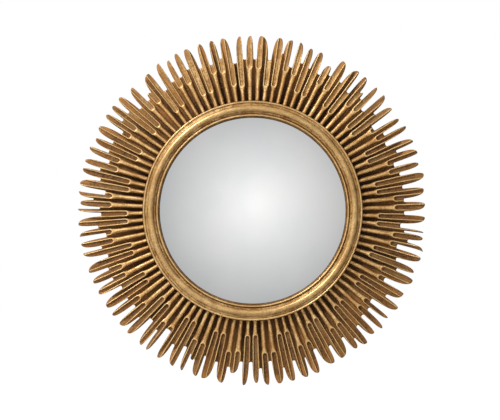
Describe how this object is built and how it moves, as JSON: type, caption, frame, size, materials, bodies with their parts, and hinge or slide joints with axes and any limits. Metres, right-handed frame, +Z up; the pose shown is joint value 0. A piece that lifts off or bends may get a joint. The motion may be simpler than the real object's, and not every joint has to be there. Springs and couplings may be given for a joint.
{
  "type": "convex wall mirror",
  "caption": "Round convex mirror in a turned gilt moulding, ringed by a wide band of carved and gilded rays, with folding hanging rings behind.",
  "frame": {"origin": "middle of the mirror in the plane of the wall that it hangs on", "axes": "+Y into the wall, so the front faces -Y; +Z up; +X to the right for someone looking at the glass"},
  "size_m": [0.9073, 0.09, 0.9133],
  "materials": {
    "gilt_carved_wood": "antique gold leaf over dark patina",
    "gilt_turned_wood": "antique gold leaf, rubbed back on the rounds",
    "silvered_glass": "silvered behind, polished",
    "felt": "soft",
    "bent_strip": "raw",
    "plywood": "raw",
    "fibreboard": "raw",
    "screw_steel": "zinc plated",
    "hanger_steel": "brass plated",
    "bumper_rubber": "matt"
  },
  "bodies": {
    "mirror": {"ray_segment_01": "gilt_carved_wood", "ray_segment_02": "gilt_carved_wood", "ray_segment_03": "gilt_carved_wood", "ray_segment_04": "gilt_carved_wood", "ray_segment_05": "gilt_carved_wood", "ray_segment_06": "gilt_carved_wood", "ray_segment_07": "gilt_carved_wood", "ray_segment_08": "gilt_carved_wood", "ray_segment_09": "gilt_carved_wood", "ray_segment_10": "gilt_carved_wood", "frame_moulding": "gilt_turned_wood", "sight_slip": "gilt_turned_wood", "convex_mirror_glass": "silvered_glass", "rebate_felt": "felt", "glass_spacer_ring": "bent_strip", "backing_ring": "plywood", "back_panel": "fibreboard", "segment_splines": "plywood", "back_panel_screws": "screw_steel", "segment_screws": "screw_steel", "moulding_screws": "screw_steel", "hanger_screws_left": "screw_steel", "hanger_screws_right": "screw_steel", "hanger_plate_left": "hanger_steel", "hanger_plate_right": "hanger_steel", "wall_bumpers": "bumper_rubber"},
    "ring_left": {"hanger_ring_left": "hanger_steel"},
    "ring_right": {"hanger_ring_right": "hanger_steel"}
  },
  "joints": [
    {"name": "ring_left_fold", "type": "hinge", "parent": "mirror", "child": "ring_left", "pos_m": [-0.19, -0.00305, 0.238], "axis": [1, 0, 0], "range_deg": [0, 180]},
    {"name": "ring_right_fold", "type": "hinge", "parent": "mirror", "child": "ring_right", "pos_m": [0.19, -0.00305, 0.238], "axis": [1, 0, 0], "range_deg": [0, 180]}
  ]
}
